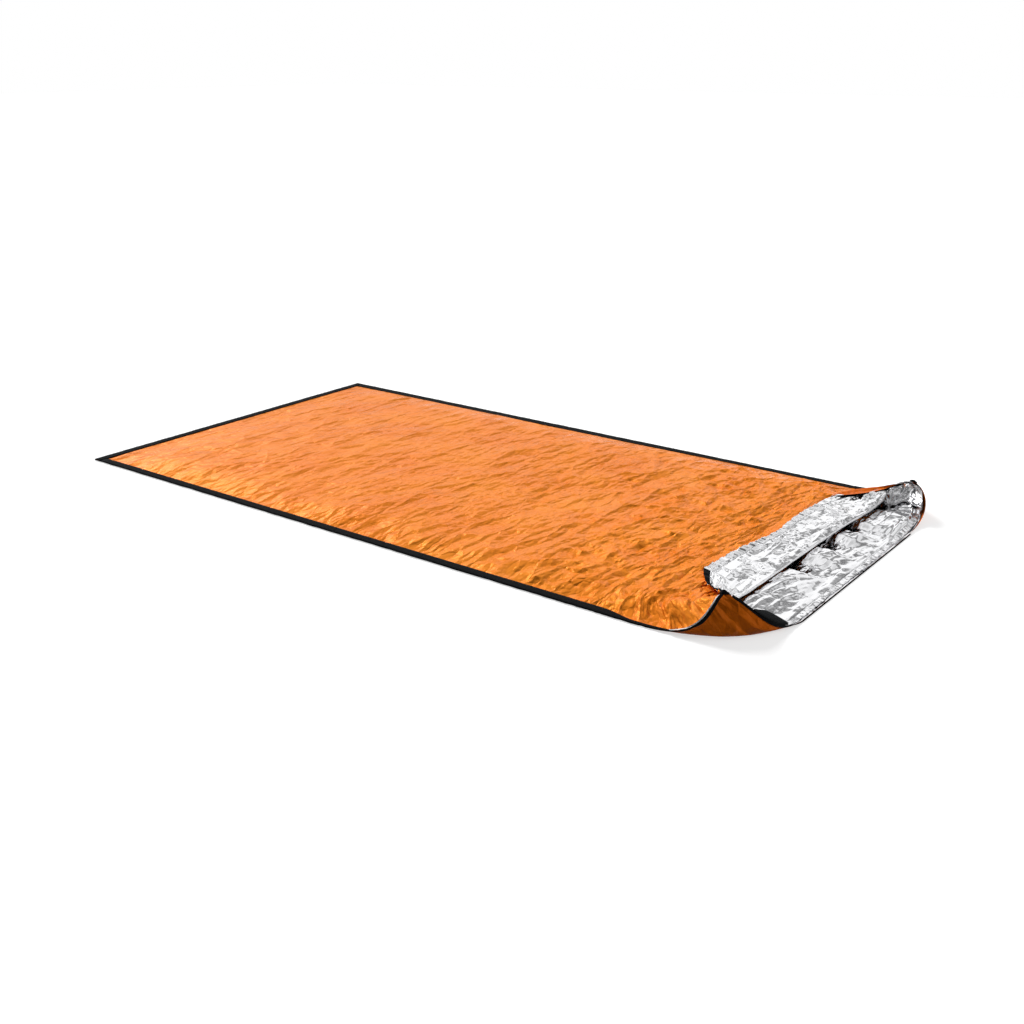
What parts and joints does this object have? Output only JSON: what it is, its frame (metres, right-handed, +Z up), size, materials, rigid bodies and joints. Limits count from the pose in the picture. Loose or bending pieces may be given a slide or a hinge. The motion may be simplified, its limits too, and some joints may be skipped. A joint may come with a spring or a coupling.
{
  "type": "bivvy bag",
  "caption": "Rectangular survival bag of orange and silver film lying flat, taped along the foot and long sides, its open mouth turned down over the bag with curled corners.",
  "frame": {"origin": "on the ground under the middle of the bag, hem and tape included", "axes": "+X from the foot to the open mouth, +Y to the side that is far from the picture's camera, +Z up"},
  "size_m": [2.1128, 1.1029, 0.0832],
  "materials": {
    "orange_film": "crinkled semi-gloss film",
    "silver_film": "bright crinkled film with a metal coating",
    "black_tape": "matt woven tape",
    "black_elastic": "matt"
  },
  "bodies": {
    "bag": {"bottom_outer_film": "orange_film", "bottom_lining": "silver_film", "top_outer_film": "orange_film", "top_lining": "silver_film", "foot_binding": "black_tape", "near_side_binding": "black_tape", "far_side_binding": "black_tape", "near_corner_binding": "black_tape", "far_corner_binding": "black_tape", "head_edge_binding": "black_tape", "head_hem_casing": "silver_film", "head_hem_elastic": "black_elastic", "near_gathered_hem": "silver_film", "far_gathered_hem": "silver_film", "near_corner_tape_end": "black_tape", "far_corner_tape_end": "black_tape"},
    "mouth_flap": {"flap_lining": "silver_film", "flap_outer_film": "orange_film", "flap_hem_casing": "silver_film", "flap_hem_elastic": "black_elastic", "flap_near_tape_end": "black_tape"}
  },
  "joints": [
    {"name": "mouth_fold", "type": "hinge", "parent": "bag", "child": "mouth_flap", "pos_m": [0.922, 0, 0.0238], "axis": [0, 1, 0], "range_deg": [0, 170]}
  ]
}
